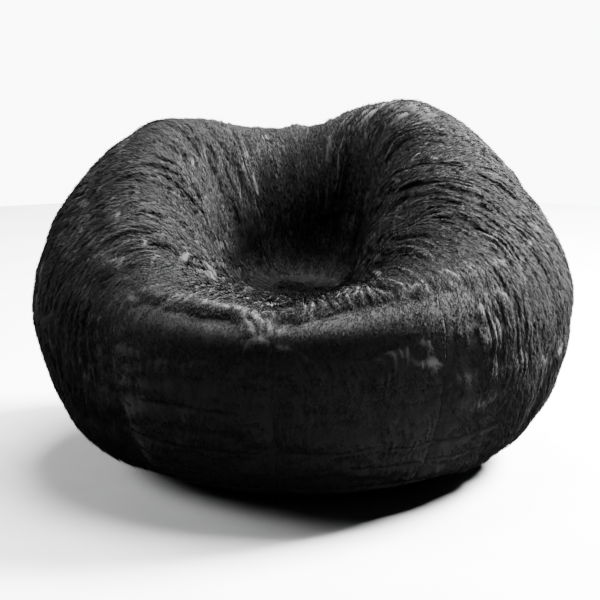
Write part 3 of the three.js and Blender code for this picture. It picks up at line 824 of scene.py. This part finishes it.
def woven(name, pitch, dark, light, bump, roughness):
    """Plain-woven cloth: two sets of threads at right angles, crossing over and under."""
    material, nodes, links, shader = new_material(name)
    places = nodes.new("ShaderNodeTexCoord")
    waves = []
    for direction in ("X", "Y"):
        wave = nodes.new("ShaderNodeTexWave")
        wave.bands_direction = direction
        wave.inputs["Scale"].default_value = math.pi / pitch / 10
        wave.inputs["Distortion"].default_value = 0.6
        wave.inputs["Detail"].default_value = 1
        links.new(places.outputs["Object"], wave.inputs["Vector"])
        waves.append(wave.outputs["Fac"])
    weave = nodes.new("ShaderNodeMath")
    weave.operation = "MULTIPLY"
    links.new(waves[0], weave.inputs[0])
    links.new(waves[1], weave.inputs[1])
    wear = nodes.new("ShaderNodeTexNoise")
    wear.inputs["Scale"].default_value = 14
    wear.inputs["Detail"].default_value = 4
    links.new(places.outputs["Object"], wear.inputs["Vector"])
    both = nodes.new("ShaderNodeMath")
    both.operation = "MULTIPLY_ADD"
    both.inputs[1].default_value = 0.6
    links.new(weave.outputs["Value"], both.inputs[0])
    links.new(wear.outputs["Fac"], both.inputs[2])
    links.new(ramp_between(nodes, links, both.outputs["Value"], 0.3, 1.0, dark, light),
              shader.inputs["Base Color"])
    relief = nodes.new("ShaderNodeBump")
    relief.inputs["Strength"].default_value = 0.5
    relief.inputs["Distance"].default_value = bump
    links.new(weave.outputs["Value"], relief.inputs["Height"])
    links.new(relief.outputs["Normal"], shader.inputs["Normal"])
    plain(shader, roughness, 0.1)
    return material


# ---------------------------------------------------------------- properties and operators

class BeanBagSizes(bpy.types.PropertyGroup):
    """The sizes and colours that a maker would change."""
    pile_length: bpy.props.FloatProperty(
        name="Pile length", description="Length of a blade of the fur", default=0.017, min=0.005, max=0.03,
        unit="LENGTH")
    blade_width: bpy.props.FloatProperty(
        name="Blade width", description="Width of a blade of the fur at its root", default=0.0016,
        min=0.0005, max=0.004, unit="LENGTH")
    cloth_spacing: bpy.props.FloatProperty(
        name="Cloth spacing", description="Distance between the points of the fur's cloth", default=0.004,
        min=0.002, max=0.02, unit="LENGTH")
    blades: bpy.props.IntProperty(
        name="Blades", description="Blades of fur on each gore", default=60000, min=1000)
    # The colour of the pile's lightest shade, the painted highlight on the tips; the other three shades are
    # darker copies of it, down to painted shade.
    fur_colour: bpy.props.FloatVectorProperty(
        name="Fur colour", description="Colour of the fur's tips", default=(0.23, 0.23, 0.234),
        size=3, min=0, max=1, subtype="COLOR")
    liner_colour: bpy.props.FloatVectorProperty(
        name="Liner colour", description="Colour of the liner's cloth", default=(0.62, 0.6, 0.55),
        size=3, min=0, max=1, subtype="COLOR")


def fur_shades(sizes):
    """The four shades of the pile: copies of one fur colour at four brightnesses, from painted shade to a
    painted highlight on the tips.
    """
    return [fur_hair("fur_deep_painted_shade", sizes.fur_colour, 0.006, 0.01, 0.0, 0.8),
            fur_hair("fur_dark_painted_shade", sizes.fur_colour, 0.09, 0.08, 0.0, 0.7),
            fur_hair("fur_mid_painted_half_light", sizes.fur_colour, 0.42, 0.2, 0.05, 0.6),
            fur_hair("fur_tips_painted_highlight", sizes.fur_colour, 1.0, 0.3, 0.12, 0.5)]


def fur_ground():
    """The dense base of the pile."""
    return speckled("fur_ground", 260, grey(0.0008), (0.003, 0.003, 0.0031), 0.0006, 0.95, 0.05,
                    span=(0.35, 0.7))


class BEANBAG_OT_gores(bpy.types.Operator):
    """Build the ten fur gores: the cloth and its pile"""
    bl_idname = "beanbag.gores"
    bl_label = "Fur gores"

    def execute(self, context):
        sizes = context.scene.bean_bag
        ground = fur_ground()
        shades = fur_shades(sizes)
        for index in range(GORE_COUNT):
            number = f"{index + 1:02d}"
            start = SEAM_TURN + index * GORE_WIDTH
            cloth = side_panel(start, GORE_WIDTH, (0, COVER_THICKNESS), sizes.cloth_spacing, RELIEF.height, 8,
                               HALF_GROOVE, CLOSED_GAP)
            gore = add_built(f"fur_gore_{number}", cloth, [ground], slot="fur",
                             replaces=[f"cover_gore_{number}"])
            pile = gore_pile(index, sizes.blades, sizes, 100 + index)
            add_built(f"fur_pile_{number}", pile, shades, slot="fur")
        return {"FINISHED"}


class BEANBAG_OT_crown(bpy.types.Operator):
    """Build the round fur patch at the bottom of the seat"""
    bl_idname = "beanbag.crown"
    bl_label = "Crown patch"

    def execute(self, context):
        sizes = context.scene.bean_bag
        edge = CROWN_RADIUS - FABRIC_GAP
        radius = np.array([0, *np.linspace(0.006, edge - 0.002, 14), edge, edge, edge - 0.002, 0])
        rise = 0.002 * np.cos(np.clip(radius / edge, 0, 1) * math.pi / 2)
        height = SEAT_HEIGHT + rise
        height[-4] = SEAT_HEIGHT - 0.002
        height[-3:] = SEAT_HEIGHT - COVER_THICKNESS + np.array([0.001, 0, 0])
        patch = add_built("fur_crown_patch", revolved(radius[::-1], height[::-1], 120), [fur_ground()],
                          slot="fur", replaces=["cover_crown_patch"])
        add_built("fur_crown_pile", crown_pile(9000, sizes, 200), fur_shades(sizes), slot="fur")
        return {"FINISHED"}


class BEANBAG_OT_base(bpy.types.Operator):
    """Build the round base panel, with its puckered edge and its topstitching"""
    bl_idname = "beanbag.base"
    bl_label = "Base panel"

    def execute(self, context):
        columns = 480
        cloth = woven("base_weave", 0.0011, (0.001, 0.001, 0.0011), (0.004, 0.004, 0.0042), 0.0004, 0.95)
        flat = np.linspace(0.02, FOOT_RADIUS - 0.01, 16)
        under_radius, under_height = base_line(0, HALF_GROOVE, 30)
        over_radius, over_height = base_line(COVER_THICKNESS, HALF_GROOVE, 6)
        radius = np.concatenate([[0], flat, under_radius, over_radius[::-1], [0.1, 0]])
        height = np.concatenate([[0], 0 * flat, under_height, over_height[::-1], [COVER_THICKNESS] * 2])
        azimuth = whole_turn(columns)
        pucker = 0.5 + 0.5 * np.sin(azimuth * 96 + 2.5 * np.sin(azimuth * 7) + 1.5 * np.sin(azimuth * 11))
        shift = np.zeros((len(radius) - 2, columns))
        last = len(flat) + len(under_radius)
        for row in range(len(flat), last):
            share = (row - len(flat)) / (last - len(flat) - 1)
            shift[row] = 0.0022 * pucker * share ** 2
        panel = add_built("base_panel", revolved(radius, height, columns, shift), [cloth],
                          slot="base_cloth", replaces=["cover_base_panel"])
        rim_radius, rim_height = base_line(-0.0004, HALF_GROOVE + 0.006, 2)
        count = 520
        turn = whole_turn(count)
        places = np.stack([rim_radius[-1] * np.cos(turn), rim_radius[-1] * np.sin(turn),
                           np.full(count, rim_height[-1] + 0.0009)], axis=1)
        headings = np.stack([-np.sin(turn), np.cos(turn), 0 * turn], axis=1)
        add_built("base_topstitch", stitches(places, headings, 0.0042, 0.0011),
                  [sewing_thread("sewing_thread")], slot="base_cloth")
        return {"FINISHED"}


class BEANBAG_OT_binding(bpy.types.Operator):
    """Build the binding that covers the front half of the base seam"""
    bl_idname = "beanbag.binding"
    bl_label = "Seam binding"

    def execute(self, context):
        half = HALF_GROOVE - BINDING_GAP
        gap = SEAM_GAP / SEAM_RADIUS
        start, end = ZIP_END + gap, 2 * math.pi + ZIP_START - gap
        strip = seam_strip(-half, half, SEAM_GAP, COVER_THICKNESS - SEAM_GAP, start, end, 0.006, 0.0018)
        cloth = speckled("binding_rib", 420, (0.001, 0.001, 0.0011), (0.004, 0.004, 0.0042), 0.0004, 0.95,
                         0.05)
        add_built("seam_binding", strip, [cloth], slot="base_cloth", replaces=["cover_seam_binding"])
        turn = np.linspace(start + 0.01, end - 0.01, 300)
        headings = np.stack([-np.sin(turn), np.cos(turn), 0 * turn], axis=1)
        rows = [stitches(seam_points(across, np.full(len(turn), SEAM_GAP - 0.0002), turn), headings,
                         0.0038, 0.001) for across in (-0.0055, 0.0055)]
        add_built("binding_topstitch", merged(rows), [sewing_thread("binding_thread")], slot="base_cloth")
        return {"FINISHED"}


class BEANBAG_OT_cover_zip(bpy.types.Operator):
    """Build the cover's zip: tapes, coils, stops, slider and pull"""
    bl_idname = "beanbag.cover_zip"
    bl_label = "Cover zip"

    def execute(self, context):
        outer = COIL_SPLIT / 2 + COIL_WIDTH
        tape_top = COIL_DEPTH + (COIL_THICKNESS - TAPE_THICKNESS) / 2
        trim = (STOP_LENGTH + RUNNING_GAP) / SEAM_RADIUS
        tape = speckled("zip_tape_weave", 700, grey(0.002), grey(0.007), 0.0003, 0.9, 0.1)
        nylon = speckled("zip_coil_nylon", 90, grey(0.004), grey(0.012), 0.0001, 0.4, 0.4)
        metal = zip_metal()
        for name, side in (("upper", 1), ("lower", -1)):
            edges = sorted((side * (outer + RUNNING_GAP), side * (HALF_GROOVE - TAPE_CLEARANCE)))
            strip = seam_strip(*edges, tape_top, tape_top + TAPE_THICKNESS, ZIP_START, ZIP_END, 0.004, 0.0002)
            add_built(f"zip_tape_{name}", strip, [tape], slot="zip_tape",
                      replaces=[f"cover_zip_tape_{name}"])
            coil = seam_coil(side, ZIP_START + trim, ZIP_END - trim)
            add_built(f"zip_coil_{name}", coil, [nylon], slot="zip_coil",
                      replaces=[f"cover_zip_coil_{name}"])
        for state in ("closed", "open"):
            node = f"cover_zip_stop_{state}"
            add_piece(f"zip_stop_{state}", machined_copy(node, 0.0004), [metal], slot="zip_metal",
                      replaces=[node])
        add_piece("zip_slider", machined_copy("cover_zip_slider", 0.00025), [metal], body="cover_slider",
                  slot="zip_metal", replaces=["cover_zip_slider"])
        add_piece("zip_pull", machined_copy("cover_zip_pull", 0.0003), [metal], body="cover_pull",
                  slot="zip_metal", replaces=["cover_zip_pull"])
        return {"FINISHED"}


def zip_metal():
    """Dark plated metal, scuffed by use."""
    return speckled("zip_plating", 300, (0.035, 0.035, 0.037), (0.09, 0.09, 0.094), 0.00005, 0.32, 0.5, 1.0,
                    span=(0.35, 0.75))


class BEANBAG_OT_liner(bpy.types.Operator):
    """Build the liner bag: four side panels, its crown cap and its base"""
    bl_idname = "beanbag.liner"
    bl_label = "Liner"

    def execute(self, context):
        light = tuple(context.scene.bean_bag.liner_colour)
        dark = tuple(channel * 0.8 for channel in light)
        cloth = woven("liner_weave", 0.0009, dark, light, 0.0003, 0.8)
        width = 2 * math.pi / LINER_PANEL_COUNT
        for index in range(LINER_PANEL_COUNT):
            start = SEAM_TURN + index * width
            panel = side_panel(start, width, (LINER_DEPTH, LINER_DEPTH + LINER_THICKNESS), 0.012,
                               RELIEF.liner_height, 1, SEAM_GAP / 2, SEAM_GAP)
            piece = add_built(f"liner_side_{index + 1}", panel, [cloth], slot="liner_cloth",
                              replaces=[f"liner_panel_{index + 1}"])
        for name, node in (("liner_cap", "liner_crown_cap"), ("liner_underside", "liner_base_panel")):
            add_piece(name, finer_copy(node, 0.014, 3, 0.0003), [cloth], slot="liner_cloth",
                      replaces=[node])
        return {"FINISHED"}


class BEANBAG_OT_liner_zip(bpy.types.Operator):
    """Build the liner's straight zip"""
    bl_idname = "beanbag.liner_zip"
    bl_label = "Liner zip"

    def execute(self, context):
        tape = speckled("liner_tape_weave", 700, (0.45, 0.44, 0.4), (0.6, 0.58, 0.53), 0.0002, 0.8)
        nylon = textured("liner_coil_nylon", "ShaderNodeTexWave", 110, 0.3, 0.7, (0.4, 0.39, 0.36),
                         (0.62, 0.6, 0.56), 0.0003, 0.4, 0.5)
        metal = zip_metal()
        for side in ("left", "right"):
            add_piece(f"liner_tape_{side}", finer_copy(f"liner_zip_tape_{side}", 0.01, 5, 0.00005), [tape],
                      slot="zip_tape", replaces=[f"liner_zip_tape_{side}"])
            add_piece(f"liner_coil_{side}", machined_copy(f"liner_zip_coil_{side}", 0.0003), [nylon],
                      slot="zip_coil", replaces=[f"liner_zip_coil_{side}"])
        for state in ("closed", "open"):
            node = f"liner_zip_stop_{state}"
            add_piece(f"liner_stop_{state}", machined_copy(node, 0.0002), [metal], slot="zip_metal",
                      replaces=[node])
        add_piece("liner_slide", machined_copy("liner_zip_slider", 0.00015), [metal], body="liner_slider",
                  slot="zip_metal", replaces=["liner_zip_slider"])
        return {"FINISHED"}


class BEANBAG_OT_filling(bpy.types.Operator):
    """Build the foam filling: one loose mass of crumbs in the shape of the bag"""
    bl_idname = "beanbag.filling"
    bl_label = "Foam filling"

    def execute(self, context):
        columns, rows = 360, 120
        azimuth = whole_turn(columns)[None, :] * np.ones((rows, 1))
        length = np.interp(azimuth[0], SKIN.azimuth, SKIN.length, period=2 * math.pi)
        shares = np.linspace(0, 1, rows)[:, None]
        along = (HALF_GROOVE + shares * (length - HALF_GROOVE - FABRIC_GAP)) / length
        place, normal = skin_at(along, azimuth)
        sink = FILLING_DEPTH + 0.0018 * RELIEF.crumbs(along, azimuth)
        sides = place - normal * sink[..., None]
        under_radius, under_height = base_line(FILLING_DEPTH + 0.0005, 0.004, 14)
        flat = np.linspace(0.02, FOOT_RADIUS - 0.02, 14)
        height = np.concatenate([np.full(len(flat), FILLING_DEPTH + LAYER_GAP + 0.0005), under_height])
        base = ring_points(np.concatenate([flat, under_radius]), height, azimuth[0])
        mass = closed_rings(np.concatenate([base, sides]), height[0], SEAT_HEIGHT - FILLING_DEPTH)
        crumbs = textured("foam_crumbs", "ShaderNodeTexVoronoi", 75, 0.05, 0.6, (0.72, 0.64, 0.4),
                          (0.5, 0.42, 0.24), 0.002, 0.95)
        filling = add_built("foam_mass", mass, [crumbs], slot="foam", replaces=["foam_filling"])
        return {"FINISHED"}


class BEANBAG_OT_stage(bpy.types.Operator):
    """Build the floor, the lights and the camera"""
    bl_idname = "beanbag.stage"
    bl_label = "Stage"

    def execute(self, context):
        count = 96
        turn = whole_turn(count)
        mesh = bpy.data.meshes.new("floor")
        rim = [(3.4 * math.cos(angle), 3.4 * math.sin(angle), -0.0005) for angle in turn]
        mesh.from_pydata(rim, [], [tuple(range(count))])
        floor = bpy.data.objects.new("floor", mesh)
        context.scene.collection.objects.link(floor)
        mesh.materials.append(speckled("floor_paint", 6, grey(0.11), grey(0.12), 0.0005, 0.8))
        world = bpy.data.worlds.new("studio")
        world.use_nodes = True
        nodes, links = world.node_tree.nodes, world.node_tree.links
        backdrop = nodes.new("ShaderNodeBackground")
        fill = nodes["Background"]
        for shader, strength in ((backdrop, 10.0), (fill, 0.06)):
            shader.inputs["Color"].default_value = (1, 1, 1, 1)
            shader.inputs["Strength"].default_value = strength
        path = nodes.new("ShaderNodeLightPath")
        mix = nodes.new("ShaderNodeMixShader")
        links.new(path.outputs["Is Camera Ray"], mix.inputs["Fac"])
        links.new(fill.outputs["Background"], mix.inputs[1])
        links.new(backdrop.outputs["Background"], mix.inputs[2])
        links.new(mix.outputs["Shader"], nodes["World Output"].inputs["Surface"])
        context.scene.world = world
        self.lamp("key", (2.8, 1.3, 2.7), 1.2, 20000)
        self.lamp("top", (0.1, 0.7, 3.4), 1.8, 3000)
        self.lamp("seat", (0.9, 0.1, 3.3), 1.4, 250)
        self.lamp("left", (-3.2, 0.7, 1.7), 1.6, 800)
        self.camera(context)
        return {"FINISHED"}

    def lamp(self, name, place, size, power):
        light = bpy.data.lights.new(name, "AREA")
        light.size = size
        light.energy = power
        lamp = bpy.data.objects.new(name, light)
        lamp.location = place
        aim = Vector((0, 0, 0.4)) - Vector(place)
        lamp.rotation_euler = aim.to_track_quat("-Z", "Y").to_euler()
        bpy.context.scene.collection.objects.link(lamp)

    def camera(self, context):
        elevation = math.radians(12.4)
        target = Vector((-0.005, 0, 0.364))
        camera = bpy.data.objects.new("camera", bpy.data.cameras.new("camera"))
        camera.data.lens = 151
        camera.data.sensor_width = 36
        camera.location = target + 5.80 * Vector((0, -math.cos(elevation), math.sin(elevation)))
        camera.rotation_euler = (target - camera.location).to_track_quat("-Z", "Y").to_euler()
        context.scene.collection.objects.link(camera)
        context.scene.camera = camera


class BEANBAG_PT_panel(bpy.types.Panel):
    """The bean bag's operators and sizes in the 3D view's sidebar"""
    bl_label = "Bean bag"
    bl_idname = "BEANBAG_PT_panel"
    bl_space_type = "VIEW_3D"
    bl_region_type = "UI"
    bl_category = "Bean bag"

    def draw(self, context):
        sizes = context.scene.bean_bag
        for name in ("pile_length", "blade_width", "cloth_spacing", "blades", "fur_colour", "liner_colour"):
            self.layout.prop(sizes, name)
        for operator in OPERATORS:
            self.layout.operator(operator.bl_idname)


OPERATORS = (BEANBAG_OT_stage, BEANBAG_OT_gores, BEANBAG_OT_crown, BEANBAG_OT_base, BEANBAG_OT_binding,
             BEANBAG_OT_cover_zip, BEANBAG_OT_liner, BEANBAG_OT_liner_zip, BEANBAG_OT_filling)
CLASSES = (BeanBagSizes, *OPERATORS, BEANBAG_PT_panel)


def register():
    for cls in CLASSES:
        bpy.utils.register_class(cls)
    bpy.types.Scene.bean_bag = bpy.props.PointerProperty(type=BeanBagSizes)


def unregister():
    del bpy.types.Scene.bean_bag
    for cls in reversed(CLASSES):
        bpy.utils.unregister_class(cls)


def main():
    register()
    bpy.ops.beanbag.stage()
    bpy.ops.beanbag.gores()
    bpy.ops.beanbag.crown()
    bpy.ops.beanbag.base()
    bpy.ops.beanbag.binding()
    bpy.ops.beanbag.cover_zip()
    bpy.ops.beanbag.liner()
    bpy.ops.beanbag.liner_zip()
    bpy.ops.beanbag.filling()


if __name__ == "__main__":
    main()
